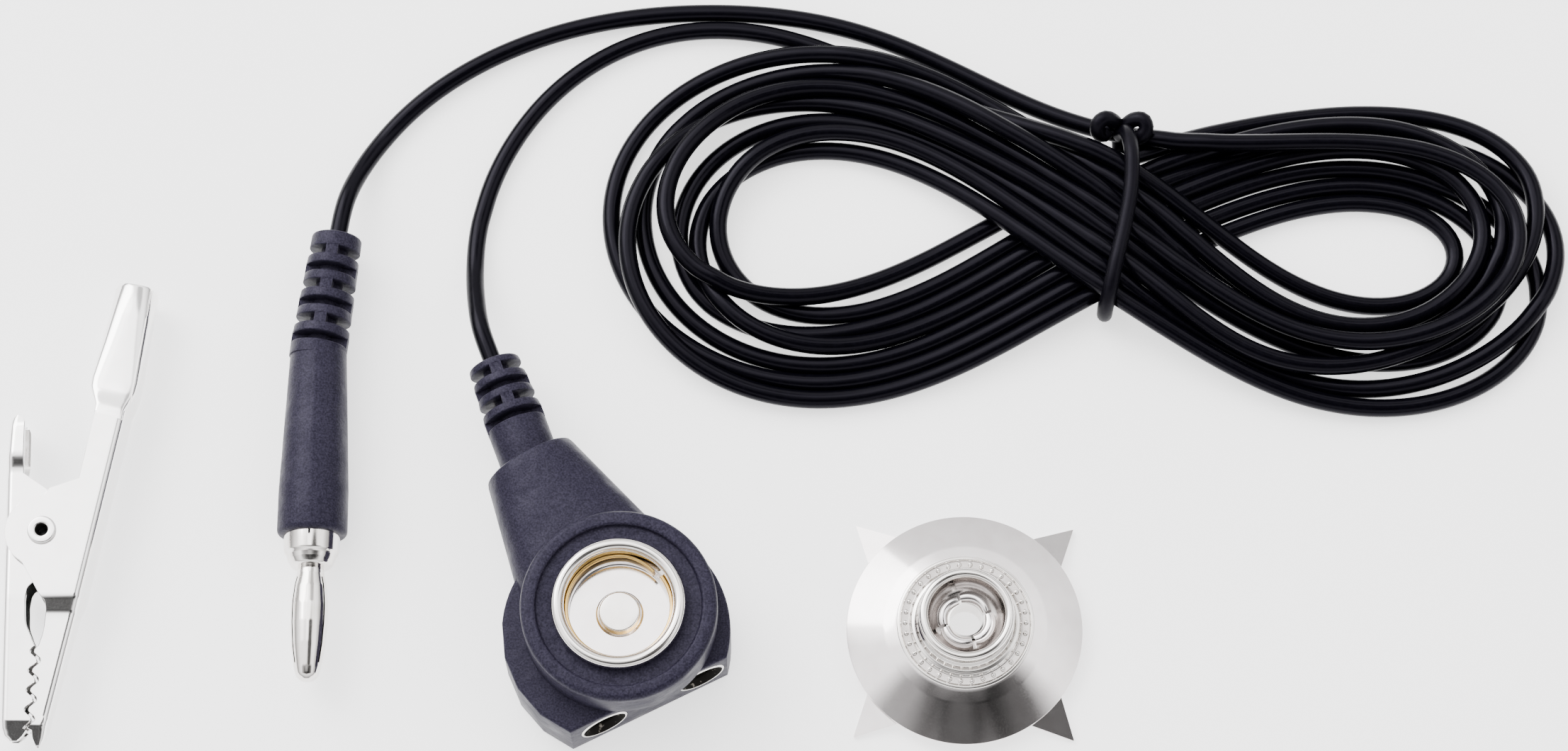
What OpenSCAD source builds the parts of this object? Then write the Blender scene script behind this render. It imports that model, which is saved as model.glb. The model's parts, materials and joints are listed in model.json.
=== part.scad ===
// Bench grounding kit: a common point block with a snap socket and two banana jacks, its thin
// cord tied in a figure of eight hank, the cord's banana plug, a crocodile clip adapter that
// fits over the plug, and a clawed plate with a press stud for a bench mat.
// Millimetres, +Z up. The origin is on the bench, under the axis of the block's snap socket.

/* [Ground block] */
// Radius of the D-shaped base
base_r = 12.0; // [11:0.1:14]
// Height of the base
base_h = 7.4; // [7.2:0.1:9]
// Distance of the flat jack face from the socket axis
face_d = 8.95; // [8.5:0.05:10.5]
// Radius of the round head
head_r = 10.3; // [9.5:0.1:11.5]
// Height of the head's raised ring
head_top = 12.1; // [11.5:0.1:14]
// Turn of the block about +Z, its cord side leading
block_turn = 26.5; // [0:0.5:90]
// Turn of the neck from the block's middle line
neck_lean = 3; // [0:0.5:8]
// Length of the neck from the socket axis to its end face
neck_reach = 20.3; // [18:0.1:24]
// Radius of the neck's end
neck_r = 5.0; // [4:0.1:5]

/* [Snap socket] */
// Outside radius of the rolled rim
rim_r = 7.05; // [6.5:0.05:7.5]
// Inside radius of the cup's wall
cup_r = 5.7; // [5.5:0.05:6]
// Depth of the cup below its rim
cup_depth = 4.8; // [4:0.1:5]
// Inside radius of the brass spring ring
ring_r = 5.3; // [5.1:0.05:5.5]
// Height of the spring ring
ring_h = 1.7; // [1:0.1:2.5]
// Width of the split in the spring ring
ring_gap = 0.9; // [0.4:0.1:1.5]

/* [Banana jacks] */
// Spacing of the two jacks
jack_spacing = 11.3; // [10.5:0.1:13]
// Sideways shift of the pair of jacks from the socket axis
jack_shift = -0.6; // [-1:0.1:1]
// Bore radius of a jack sleeve
jack_r = 2.05; // [2:0.01:2.1]
// Wall of a jack sleeve
jack_wall = 0.65; // [0.4:0.05:1]
// Bore depth of a jack sleeve
jack_depth = 14; // [10:0.5:16]

/* [Cord] */
// Diameter of the cord
cord_d = 2.0; // [1.6:0.1:3]
// Height of the cord's axis where it enters the block
cord_entry_z = 5.0; // [4:0.1:6]
// Height of the tied hank
hank_h = 5.6; // [3:0.1:8]
// Diameter of the round twist tie
tie_d = 1.6; // [1:0.1:3]

/* [Banana plug] */
// Radius of the plug's pin at its widest
pin_r = 2.0; // [1.95:0.01:2.1]
// Length of the pin below the collar
pin_len = 12.5; // [10:0.5:20]
// Largest radius of the handle
handle_r = 3.75; // [3:0.05:5]
// Length of the handle
handle_len = 21.1; // [18:0.1:26]
// Length of the plug's strain relief
plug_boot_len = 12.9; // [8:0.1:18]

/* [Crocodile clip] */
// Thickness of the sheet
sheet = 0.5; // [0.3:0.05:0.8]
// Outside thickness over the ears
ear_width = 5.5; // [5:0.1:7]
// Outside thickness over the thumb jaw
jaw_width = 3.9; // [3:0.1:4.5]
// Outside thickness at the nose
nose_width = 3.0; // [2:0.1:3.5]
// Outside radius of the barrel
barrel_r = 2.4; // [2.3:0.05:3]
// Bore radius of the barrel, for a 4 mm pin
barrel_bore_r = 2.05; // [2:0.01:2.2]
// Length of the barrel
barrel_len = 11.4; // [8:0.1:14]

/* [Mat stud plate] */
// Radius of the domed disc
disc_r = 12.55; // [11:0.05:15]
// Radius at the tips of the claws
claw_r = 16.4; // [14:0.1:18]
// Radius of the press stud
stud_r = 5.05; // [4.9:0.01:5.1]
// Height of the press stud's rim
stud_top = 7.9; // [7:0.1:9]

/* [Hidden] */
$fn = 72;
soft_fn = 32;      // children of a hull
eps = 0.05;        // overlap of parts that are fused, and running clearance

// Colours
black = [0.07, 0.07, 0.09];
cord_black = [0.03, 0.03, 0.05];
nickel = [0.86, 0.85, 0.82];
brass = [0.80, 0.62, 0.28];
resistor_blue = [0.30, 0.50, 0.68];
tin = [0.75, 0.75, 0.76];

// Ground block heights
annulus_z = head_top - 0.6;
rim_top = head_top + 1.0;
cup_floor = rim_top - cup_depth;
cup_under = cup_floor - 0.4;
ring_top = rim_top - 1.8;
base_at = [-1.0, -1.1];
rim_roll = 0.65;
strip_t = 0.5;
jack_z = base_h / 2 + 0.3;
sleeve_r = jack_r + jack_wall;
sleeve_back = jack_depth + 0.5 - face_d;
neck_z = cord_entry_z;

// The cord's bushing on the block: its outer end and its direction
bush_exit = [-14.0, 28.8];
bush_lean = 20.5;
bush_len = 11.5;
bush_tube = 4.0;
bush_r = 3.15;

// Banana plug: it lies along -Y with its handle on the bench
plug_x = -33;
plug_z = handle_r;
handle_y = 9.9;
collar_len = 3.5;
pin_top = handle_y - collar_len;
plug_boot_lean = 7;
plug_boot_y = handle_y + handle_len;

// Crocodile clip: its rivet stands along Z
clip_at = [-61.4, 9.9];
clip_z = ear_width / 2 + 0.45;
rivet_r = 1.1;
barrel_lean = 9.7;
barrel_at = [6.6, 16.9];
tooth_pitch = 2.1;
tooth_high = 0.4;
teeth_top = -12.4;
teeth_low = -21.2;

// Mat stud plate
plate_at = [36.35, 0.2];
plate_t = 0.5;
plate_gap = 0.2;
flange_z = 4.1;

// Cord routes, from the fittings to the hank
block_route = [
    [-14.0, 28.8, 5.0], [-15.5, 33.0, 4.7], [-16.2, 37.0, 3.2], [-16.5, 41.0, 1.6],
    [-16.4, 44.5, 1.0], [-15.3, 50.0, 1.0], [-12.8, 56.0, 1.0], [-9.0, 61.6, 1.0],
    [-3.6, 66.2, 1.0], [2.0, 68.9, 1.0], [8.5, 70.0, 1.0], [15.0, 69.6, 1.0],
    [21.0, 67.9, 1.0], [26.5, 65.2, 1.0]];
plug_route = [
    [-31.4, 43.8, 3.7], [-30.6, 48.5, 3.3], [-29.2, 52.5, 1.9], [-27.2, 56.0, 1.1],
    [-24.0, 59.8, 1.0], [-18.6, 64.1, 1.0], [-11.9, 67.8, 1.2], [-4.9, 70.2, 2.0],
    [1.5, 71.2, 2.8], [8.8, 71.4, 3.0], [16.0, 71.3, 2.6], [23.0, 70.6, 1.8],
    [30.0, 68.1, 1.2], [36.0, 65.0, 1.1], [42.0, 61.3, 1.1], [48.5, 57.6, 1.2]];

// Hank: two lobes that meet in a waist, where the tie is
left_lobe = [19, 45.6];
left_lobe_r = 21.4;
right_lobe = [84.4, 42.6];
right_lobe_r = 17.8;
waist = [53, 46];
waist_r = 10.2;
tie_lean = 6;

// ---- helpers ----

function arc(c, r, a0, a1, n) =
    [for (i = [0:n]) c + r * [cos(a0 + (a1 - a0) * i / n), sin(a0 + (a1 - a0) * i / n)]];

function unit(v) = v / norm(v);

function along(p, i) = unit(p[min(i + 1, len(p) - 1)] - p[max(i - 1, 0)]);

// A smooth curve through points p, n steps to each stretch
function smooth(p, n) = [
    for (i = [0:len(p) - 2])
        let (a = p[max(i - 1, 0)], b = p[i], c = p[i + 1], d = p[min(i + 2, len(p) - 1)])
        for (k = [0:n - 1])
            let (t = k / n)
            0.5 * (2 * b + (c - a) * t + (2 * a - 5 * b + 4 * c - d) * t * t
                + (3 * b - a - 3 * c + d) * t * t * t),
    p[len(p) - 1]];

// A round tube of radius r swept along points p
module sweep(p, r, sides = 8) {
    n = len(p);
    rings = [
        for (i = [0:n - 1])
            let (t = along(p, i), u = unit(cross(t, [0, 0, 1])), w = cross(u, t))
            for (k = [0:sides - 1])
                p[i] + r * (cos(360 * (k + 0.5) / sides) * u + sin(360 * (k + 0.5) / sides) * w)];
    sides_of = [
        for (i = [0:n - 2])
            for (k = [0:sides - 1])
                let (m = (k + 1) % sides)
                [i * sides + k, i * sides + m, (i + 1) * sides + m, (i + 1) * sides + k]];
    start_cap = [[for (k = [sides - 1:-1:0]) k]];
    end_cap = [[for (k = [0:sides - 1]) (n - 1) * sides + k]];
    polyhedron(points = rings, faces = concat(sides_of, start_cap, end_cap));
}

// A solid of revolution about +Y instead of +Z
module lathe_y(profile) {
    rotate([-90, 0, 0]) rotate_extrude() polygon(profile);
}

// A tapered sleeve along +Y with slots cut in from its sides, then from its top and bottom
module slotted_sleeve(length, r_root, r_end, slots, first, pitch) {
    core_r = 1.45;
    slot_w = 0.95;
    bridge = 1.1;
    difference() {
        lathe_y([[0, 0], [r_root, 0], [r_end, length - 0.3], [r_end - 0.3, length], [0, length]]);
        for (i = [0:slots - 1])
            translate([0, first + i * pitch, 0])
                rotate([0, i % 2 == 0 ? 0 : 90, 0])
                    difference() {
                        rotate([-90, 0, 0]) cylinder(r = r_root + 1, h = slot_w, center = true);
                        rotate([-90, 0, 0]) cylinder(r = core_r, h = slot_w + 1, center = true);
                        cube([2 * r_root + 3, slot_w + 1, bridge], center = true);
                    }
    }
}

// ---- ground block ----

module in_block() {
    rotate([0, 0, block_turn]) children();
}

module in_neck() {
    rotate([0, 0, block_turn + neck_lean]) children();
}

// Round at the back, flat at the jack face, and faceted on the side away from the cord
module base_prism(h) {
    corner = asin((face_d + base_at[1]) / base_r);
    linear_extrude(h)
        polygon(concat(
            arc(base_at, base_r, -corner, 150, 48),
            arc(base_at, base_r, 150, 180 + corner, 4)));
}

// The bore along the neck that holds the resistor
module resistor_bore() {
    in_neck()
        translate([0, sleeve_back + 0.3, neck_z])
            rotate([-90, 0, 0]) cylinder(r = 1.55, h = 14.2);
}

module bushing_root() {
    translate([bush_exit[0], bush_exit[1], cord_entry_z])
        rotate([0, 0, bush_lean])
            rotate([90, 0, 0]) cylinder(r = bush_r, h = bush_len + 1.2);
}

module block_base() {
    color(black)
        difference() {
            in_block()
                difference() {
                    base_prism(base_h);
                    for (side = [-1, 1])
                        translate([jack_shift + side * jack_spacing / 2, -face_d - 1, jack_z])
                            rotate([-90, 0, 0]) cylinder(r = sleeve_r, h = jack_depth + 1.5);
                    translate([jack_shift - jack_spacing / 2 - 2.5, sleeve_back - eps, 1.6])
                        cube([jack_spacing + 5, strip_t + 0.2, base_h]);
                    translate([-2.6, -2.6, base_h - 0.6]) cube([5.2, sleeve_back + 3, 1]);
                    translate([0, 0, base_h - 1.4]) cylinder(r = 1.9, h = 2);
                }
            resistor_bore();
        }
}

module block_head() {
    color(black)
        difference() {
            union() {
                in_block() rotate_extrude() head_profile();
                hull() {
                    in_neck()
                        translate([0, neck_reach, neck_z])
                            rotate([90, 0, 0]) cylinder(r = neck_r, h = 0.6, $fn = 48);
                    translate([0, 0, 0.2]) cylinder(r = 10.0, h = 7.8, $fn = 48);
                    cylinder(r = 8.4, h = annulus_z - 0.4, $fn = 48);
                }
            }
            in_block() translate([0, 0, -1]) base_prism(base_h + 1);
            in_block() translate([-20, -20 - face_d, -1]) cube([40, 20, base_h + 1]);
            translate([0, 0, cup_under]) cylinder(r = cup_r + 0.45, h = 9);
            cylinder(r = 1.05, h = 20);
            resistor_bore();
            bushing_root();
        }
}

// The head in section: raised ring outside, a step down to the annulus inside
module head_profile() {
    polygon(concat(
        [[0, base_h], [head_r, base_h]],
        arc([head_r - 0.6, head_top - 0.6], 0.6, 0, 90, 6),
        arc([8.65 + 0.3, head_top - 0.3], 0.3, 90, 180, 4),
        [[8.65, annulus_z], [0, annulus_z]]));
}

module block_bushing() {
    color(black)
        translate([bush_exit[0], bush_exit[1], cord_entry_z])
            rotate([0, 0, bush_lean])
                union() {
                    translate([0, -bush_len - 1.2, 0])
                        rotate([-90, 0, 0]) cylinder(r = bush_r, h = bush_tube + 1.2);
                    translate([0, -bush_len + bush_tube - eps, 0])
                        slotted_sleeve(bush_len - bush_tube + eps, 3.1, 2.65, 4, 0.65, 1.85);
                }
}

module snap_cup() {
    color(nickel)
        rotate_extrude()
            difference() {
                union() {
                    translate([1.1, cup_under]) square([cup_r + 0.4 - 1.1, 0.4]);
                    translate([cup_r, cup_under]) square([0.4, rim_top - rim_roll - cup_under]);
                    translate([rim_r - rim_roll, rim_top - rim_roll]) circle(r = rim_roll, $fn = 40);
                }
                translate([0, cup_floor]) square([cup_r, 9]);
            }
}

module snap_spring_ring() {
    color(brass)
        translate([0, 0, ring_top - ring_h])
            difference() {
                cylinder(r = cup_r, h = ring_h);
                translate([0, 0, -1]) cylinder(r = ring_r, h = ring_h + 2);
                rotate([0, 0, 42])
                    translate([ring_r - 1, -ring_gap / 2, -1]) cube([3, ring_gap, ring_h + 2]);
            }
}

module snap_rivet() {
    under = base_h - strip_t;
    color(nickel)
        rotate_extrude()
            polygon([[0, under - 0.6], [1.5, under - 0.6], [1.75, under - 0.1], [1.75, under],
                [1.0, under], [1.0, cup_floor], [2.45, cup_floor], [2.35, cup_floor + 0.5],
                [2.05, cup_floor + 1.1], [0, cup_floor + 1.1]]);
}

// A blind nickel sleeve whose mouth is in the flat face, on one side of the middle
module jack_sleeve(side) {
    color(nickel)
        in_block()
            translate([jack_shift + side * jack_spacing / 2, -face_d, jack_z])
                rotate([-90, 0, 0])
                    difference() {
                        cylinder(r = sleeve_r, h = jack_depth + 0.5);
                        translate([0, 0, -1]) cylinder(r = jack_r, h = jack_depth + 1);
                    }
}

// One strip joins both sleeves to the snap socket's rivet
module bus_strip() {
    color(brass)
        in_block()
            difference() {
                union() {
                    translate([jack_shift - jack_spacing / 2 - 2.2, sleeve_back, 1.8])
                        cube([jack_spacing + 4.4, strip_t, base_h - 2.4]);
                    translate([-2.4, -2.4, base_h - strip_t])
                        cube([4.8, sleeve_back + 2.4 + strip_t, strip_t]);
                    translate([-2.4, sleeve_back, 1.8])
                        cube([4.8, strip_t, base_h - 1.8]);
                }
                cylinder(r = 1.0, h = 20);
                translate([0, sleeve_back - 1, neck_z])
                    rotate([-90, 0, 0]) cylinder(r = 0.32, h = 3);
            }
}

module series_resistor() {
    color(resistor_blue)
        in_neck()
            translate([0, 8.6, neck_z])
                lathe_y([[0, 0], [0.9, 0], [1.25, 0.4], [1.25, 1.5], [1.05, 1.9], [1.05, 4.5],
                    [1.25, 4.9], [1.25, 6], [0.9, 6.4], [0, 6.4]]);
}

module resistor_leads() {
    color(tin)
        in_neck() {
            translate([0, sleeve_back + strip_t + 0.05, neck_z])
                rotate([-90, 0, 0]) cylinder(r = 0.3, h = 8.6 - sleeve_back - strip_t - 0.05);
            translate([0, 15, neck_z])
                rotate([-90, 0, 0]) cylinder(r = 0.3, h = 1.2);
        }
}

module conductor_crimp() {
    color(tin)
        in_neck()
            translate([0, 15.4, neck_z])
                rotate([-90, 0, 0])
                    difference() {
                        cylinder(r = 0.95, h = 3.4);
                        translate([0, 0, -1]) cylinder(r = 0.3, h = 6);
                    }
}

// ---- cord ----

module cord_lead_block() {
    color(cord_black) sweep(smooth(block_route, 2), cord_d / 2);
}

module cord_lead_plug() {
    color(cord_black) sweep(smooth(plug_route, 2), cord_d / 2);
}

module hank_outline() {
    hull() {
        translate(left_lobe) circle(r = left_lobe_r, $fn = 96);
        translate(waist) circle(r = waist_r, $fn = 48);
    }
    hull() {
        translate(right_lobe) circle(r = right_lobe_r, $fn = 96);
        translate(waist) circle(r = waist_r, $fn = 48);
    }
}

module left_eye() {
    hull() {
        translate([17, 45.6]) circle(r = 5.2, $fn = soft_fn);
        translate([36, 46]) circle(r = 0.8, $fn = soft_fn);
    }
}

module cord_hank() {
    color(cord_black)
        difference() {
            linear_extrude(hank_h)
                difference() {
                    hank_outline();
                    left_eye();
                }
            in_tie() translate([-tie_d / 2 - 0.1, -15, -1]) cube([tie_d + 0.2, 30, tie_d + 1.1]);
        }
}

module in_tie() {
    translate([waist[0], waist[1], 0]) rotate([0, 0, -tie_lean]) children();
}

// A round wire bent into a loop about the waist, its two ends twisted up on the far side
module hank_tie() {
    r = tie_d / 2;
    half = waist_r + 0.15 + r;
    top = hank_h + 0.1 + r;
    color(cord_black)
        in_tie() {
            translate([0, half, r]) cylinder(r = r, h = top - r, $fn = 24);
            translate([0, -half, r]) cylinder(r = r, h = top - r, $fn = 24);
            for (z = [r, top])
                translate([0, -half, z])
                    rotate([-90, 0, 0]) cylinder(r = r, h = 2 * half, $fn = 24);
            for (y = [-half, half], z = [r, top])
                translate([0, y, z]) sphere(r = r, $fn = 24);
            for (x = [-1.5, 1.9])
                translate([x, half + 0.2, top - 0.4]) sphere(r = 1.7, $fn = 32);
        }
}

// ---- banana plug ----

module at_plug(y) {
    translate([plug_x, y, plug_z]) children();
}

module plug_handle() {
    small = 3.0;
    color(black)
        at_plug(handle_y)
            difference() {
                lathe_y(concat(
                    [[0, 0], [handle_r - 0.5, 0]],
                    arc([handle_r - 0.5, 0.5], 0.5, -90, 0, 5),
                    [[small, handle_len], [0, handle_len]]));
                translate([0, -1, 0]) rotate([-90, 0, 0]) cylinder(r = 2.6, h = 5.1);
                rotate([-90, 0, 0]) cylinder(r = 1.9, h = 13.5);
            }
}

module plug_boot() {
    color(black)
        at_plug(plug_boot_y)
            rotate([0, 0, -plug_boot_lean])
                slotted_sleeve(plug_boot_len, 3.0, 2.55, 6, 0.7, 2.0);
}

module plug_collar() {
    color(nickel)
        at_plug(pin_top)
            difference() {
                lathe_y(concat(
                    [[0, 0], [2.3, 0]],
                    arc([2.3, 0.6], 0.6, -90, 0, 5),
                    [[3.05, collar_len], [2.6, collar_len], [2.6, collar_len + 4.1],
                    [0, collar_len + 4.1]]));
                translate([0, -1, 0]) rotate([-90, 0, 0]) cylinder(r = 1.3, h = 4);
            }
}

// A pin split into three leaves: narrow root, a straight 4 mm stretch, and a rounded tip
module plug_pin() {
    color(nickel)
        at_plug(pin_top)
            difference() {
                rotate([180, 0, 0])
                    lathe_y(concat(
                        [[0, -2.9], [1.3, -2.9], [1.3, 0], [1.7, 0], [1.75, 1.2], [pin_r, 4],
                        [pin_r, 7.2], [1.6, pin_len - 2.2], [1.25, pin_len - 0.8]],
                        arc([0.6, pin_len - 0.7], 0.7, 20, 90, 5),
                        [[0, pin_len]]));
                for (turn = [-58, 58, 180])
                    rotate([0, turn, 0])
                        translate([-0.12, -10.6, 0.9]) cube([0.24, 9.4, 3]);
            }
}

// The crimp that joins the cord's conductor to the collar
module plug_core() {
    color(brass)
        at_plug(handle_y + 4.1)
            rotate([-90, 0, 0])
                difference() {
                    cylinder(r = 1.85, h = 9.2);
                    translate([0, 0, 3]) cylinder(r = 0.8, h = 8);
                }
}

// ---- crocodile clip, in its own plane about the rivet ----

module in_clip() {
    translate([clip_at[0], clip_at[1], clip_z]) children();
}

// The wavy line where the two rows of teeth meet, moved sideways by s
function teeth(s) = [
    for (i = [0:32])
        let (y = teeth_top + (teeth_low - teeth_top) * i / 32, x = -0.04 - 0.42 * i / 32)
        [x + s + tooth_high * sin(360 * (y - teeth_top) / tooth_pitch), y]];

function reversed(p) = [for (i = [len(p) - 1:-1:0]) p[i]];

// Flank of the barrel jaw in front of its ears
front_flank = concat(
    [[4.6, -5.6], [1.35, -21.4], [0.9, -22.8], [0.4, -23], [-0.1, -22.5]],
    reversed(teeth(0.2)), [[0.6, -10.9], [0.8, -8.4], [0.6, -6.6]]);

// Flank of the barrel jaw's arm and ears, the ear round about the rivet
ear_flank = concat(
    [[5.1, 14.3], [8.2, 13.4], [4.3, -7.9], [3.6, -7.7], [1.0, -7.0], [-0.7, -5.6]],
    arc([0, 0], 3.95, 240, 88, 14), [[0.5, 4.7], [3.6, 5.8]]);

// Flank of the thumb jaw, from the lever's round end to its nose
thumb_flank = concat(
    arc([-3.35, 12.3], 0.8, 0, 180, 8),
    [[-4.3, 6.4], [-4.05, -1.5], [-3.5, -21.2], [-3.0, -22.1], [-1.5, -22.4], [-0.9, -21.8]],
    reversed(teeth(-0.2)),
    [[-1.35, -9.8], [-1.5, -7.3], [-1.3, -6.0], [0.4, -4.2]],
    arc([0, 0], 3.3, -50, 50, 8), [[0.5, 4.6], [-2.45, 6.6]]);

// A strip of sheet along an edge, on the side that s points to
function strip(edge, s) = concat(edge, reversed([for (p = edge) p + [s * sheet, 0]]));

barrel_edge = [[4.6, -5.6], [1.35, -21.4]];
arm_edge = [[8.2, 13.4], [4.3, -7.9]];
thumb_edge = [[-4.15, 12.3], [-4.3, 6.4], [-4.05, -1.5], [-3.5, -21.2]];
nose_y = -21.6;

// A slab that narrows from the back to the nose, its half widths less t
module jaw_slab(t) {
    nose = nose_width / 2 - t;
    wide = jaw_width / 2 - t;
    rotate([90, 0, 90])
        translate([0, 0, -20])
            linear_extrude(40)
                polygon([[30, wide], [-7, wide], [-23.5, nose], [-23.5, -nose], [-7, -wide],
                    [30, -wide]]);
}

// A plane shape given the thickness of the jaw
module jaw_plate() {
    intersection() {
        translate([0, 0, -5]) linear_extrude(10) children();
        jaw_slab(0);
    }
}

// A channel of bent sheet: two flanks and a spine, solid at the nose
module channel(flank, edge, side) {
    difference() {
        jaw_plate() polygon(flank);
        jaw_slab(sheet);
    }
    jaw_plate() polygon(strip(edge, side));
    jaw_plate()
        intersection() {
            polygon(flank);
            translate([-10, nose_y - 5]) square([20, 5]);
        }
}

// The wide channel of the arm, whose ears pass outside the thumb jaw
module ear_channel() {
    for (z = [-ear_width / 2, ear_width / 2 - sheet])
        translate([0, 0, z]) linear_extrude(sheet) polygon(ear_flank);
    translate([0, 0, -ear_width / 2])
        linear_extrude(ear_width) polygon(strip(arm_edge, -1));
}

// The step by which an ear comes in to the narrower flank in front of it
module ear_step() {
    for (m = [0, 1])
        mirror([0, 0, m])
            translate([0, 0, jaw_width / 2 - sheet + eps])
                linear_extrude((ear_width - jaw_width) / 2 + sheet - 2 * eps)
                    polygon([[1.2, -7.2], [3.7, -7.85], [3.6, -8.35], [1.1, -7.7]]);
}

module barrel_disc(r) {
    translate([barrel_at[0], barrel_at[1], 0])
        rotate([0, 0, -barrel_lean])
            rotate([-90, 0, 0]) cylinder(r = r, h = 0.2, $fn = soft_fn);
}

module arm_end(w, t) {
    translate([6.6, 13.6, 0]) rotate([0, 0, -16]) cube([w, 0.2, t], center = true);
}

// The sheet closes up from the arm into the round barrel
module arm_to_barrel() {
    wall_r = (barrel_r + barrel_bore_r) / 2;
    difference() {
        hull() {
            barrel_disc(wall_r + 0.08);
            arm_end(3.0, ear_width - 0.2);
        }
        hull() {
            translate([0, 0.3, 0]) barrel_disc(wall_r - 0.1);
            translate([0, -0.3, 0]) arm_end(2.1, ear_width - 1.2);
        }
    }
}

module clip_barrel() {
    translate([barrel_at[0], barrel_at[1], 0])
        rotate([0, 0, -barrel_lean])
            rotate([-90, 0, 0])
                difference() {
                    cylinder(r = barrel_r, h = barrel_len);
                    translate([0, 0, -1]) cylinder(r = barrel_bore_r, h = barrel_len + 2);
                }
}

module clip_barrel_jaw() {
    color(nickel)
        in_clip()
            difference() {
                union() {
                    channel(front_flank, barrel_edge, -1);
                    ear_channel();
                    ear_step();
                    arm_to_barrel();
                    clip_barrel();
                }
                translate([0, 0, -10]) cylinder(r = rivet_r, h = 20);
            }
}

module clip_thumb_jaw() {
    color(nickel)
        in_clip()
            difference() {
                channel(thumb_flank, thumb_edge, 1);
                translate([0, 0, -10]) cylinder(r = rivet_r + 0.06, h = 20);
            }
}

// A tubular rivet with a rolled head at each end
module clip_rivet() {
    half = ear_width / 2;
    color(nickel)
        in_clip()
            rotate_extrude()
                polygon([[0.8, -half - 0.45], [1.4, -half - 0.45], [1.55, -half - 0.2],
                    [1.55, -half], [rivet_r, -half], [rivet_r, half], [1.55, half],
                    [1.55, half + 0.2], [1.4, half + 0.4], [0.8, half + 0.4]]);
}

// A torsion spring: a coil on the rivet, one leg on each jaw's spine
module clip_spring() {
    wire_r = 0.28;
    coil_r = 1.7;
    turns_deg = 360 * 4 - 43;
    coil = [
        for (i = [0:64])
            let (a = 105 + turns_deg * i / 64)
            [coil_r * cos(a), coil_r * sin(a), -1.15 + 2.3 * i / 64]];
    color(nickel)
        in_clip()
            sweep(concat([[5.2, 3.2, -1.15], [2.4, 2.4, -1.15]], coil,
                [[-1.2, 2.7, 1.15], [-3.1, 3.8, 1.15]]), wire_r);
}

// ---- mat stud plate ----

module at_plate() {
    translate([plate_at[0], plate_at[1], 0]) children();
}

// A dished washer in section: flat in the middle, sloping down to its rim
module dish_profile(r_in, r_out, z_mid, fall) {
    polygon([[r_in, z_mid], [6.6, z_mid], [8.4, z_mid - 0.22 * fall], [r_out, z_mid - fall],
        [r_out, z_mid - fall - plate_t], [8.2, z_mid - 0.22 * fall - plate_t],
        [6.5, z_mid - plate_t], [r_in, z_mid - plate_t]]);
}

module stud_disc() {
    color(nickel)
        at_plate() rotate_extrude() dish_profile(2.25, disc_r, flange_z, 2.5);
}

// The press stud: a flange, a base and a rim rolled over into a bowl
module stud_cap() {
    color(nickel)
        at_plate()
            rotate_extrude()
                polygon(concat(
                    [[2.25, flange_z], [7.2, flange_z], [7.2, flange_z + 0.4],
                    [5.6, flange_z + 0.5], [5.4, flange_z + 1.2], [4.85, flange_z + 1.4],
                    [4.85, flange_z + 1.9], [stud_r, flange_z + 2.1],
                    [stud_r, stud_top - 0.5]],
                    arc([stud_r - 0.5, stud_top - 0.5], 0.5, 0, 180, 10),
                    [[3.9, flange_z + 1.7], [3.2, flange_z + 1.1], [2.25, flange_z + 0.9]]));
}

// A tubular eyelet clinched over the bowl's floor and under the claw plate
module stud_eyelet() {
    floor_z = flange_z + 0.9;
    under = flange_z - 2 * plate_t - plate_gap;
    color(nickel)
        at_plate()
            rotate_extrude()
                polygon([[1.72, under - 0.4], [3.9, under - 0.4], [3.9, under], [2.2, under],
                    [2.2, floor_z + 0.05], [3.0, floor_z + 0.35], [2.9, floor_z + 0.75],
                    [2.2, floor_z + 0.8], [1.72, floor_z + 0.4]]);
}

// A dished washer under the disc, drawn out into four flat claws
module claw_plate() {
    fall = 2.4;
    low = flange_z - plate_t - plate_gap;
    slope = 8.5;
    color(nickel)
        at_plate()
            union() {
                rotate_extrude() dish_profile(2.25, 12.0, low, fall);
                for (a = [44:90:314])
                    rotate([0, 0, a])
                        translate([claw_r, 0, 0])
                            rotate([0, slope, 0])
                                translate([-claw_r + 10.6, 0, 0])
                                    linear_extrude(plate_t)
                                        polygon([[0, -3.0], [claw_r - 10.6, 0], [0, 3.0]]);
            }
}

block_base();
block_head();
block_bushing();
snap_cup();
snap_spring_ring();
snap_rivet();
jack_sleeve(-1);  // jack_sleeve_left
jack_sleeve(1);  // jack_sleeve_right
bus_strip();
series_resistor();
resistor_leads();
conductor_crimp();
cord_lead_block();
cord_lead_plug();
cord_hank();
hank_tie();
plug_handle();
plug_boot();
plug_collar();
plug_pin();
plug_core();
clip_barrel_jaw();
clip_thumb_jaw();
clip_rivet();
clip_spring();
stud_disc();
stud_cap();
stud_eyelet();
claw_plate();
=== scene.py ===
"""Looks of an ESD bench grounding kit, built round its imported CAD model.

Meshes are drawn in millimetres in each piece's own frame and placed in the model's frame in metres.
"""
import json
import math

import bmesh
import bpy
import numpy as np
from mathutils import Matrix, Vector


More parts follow.
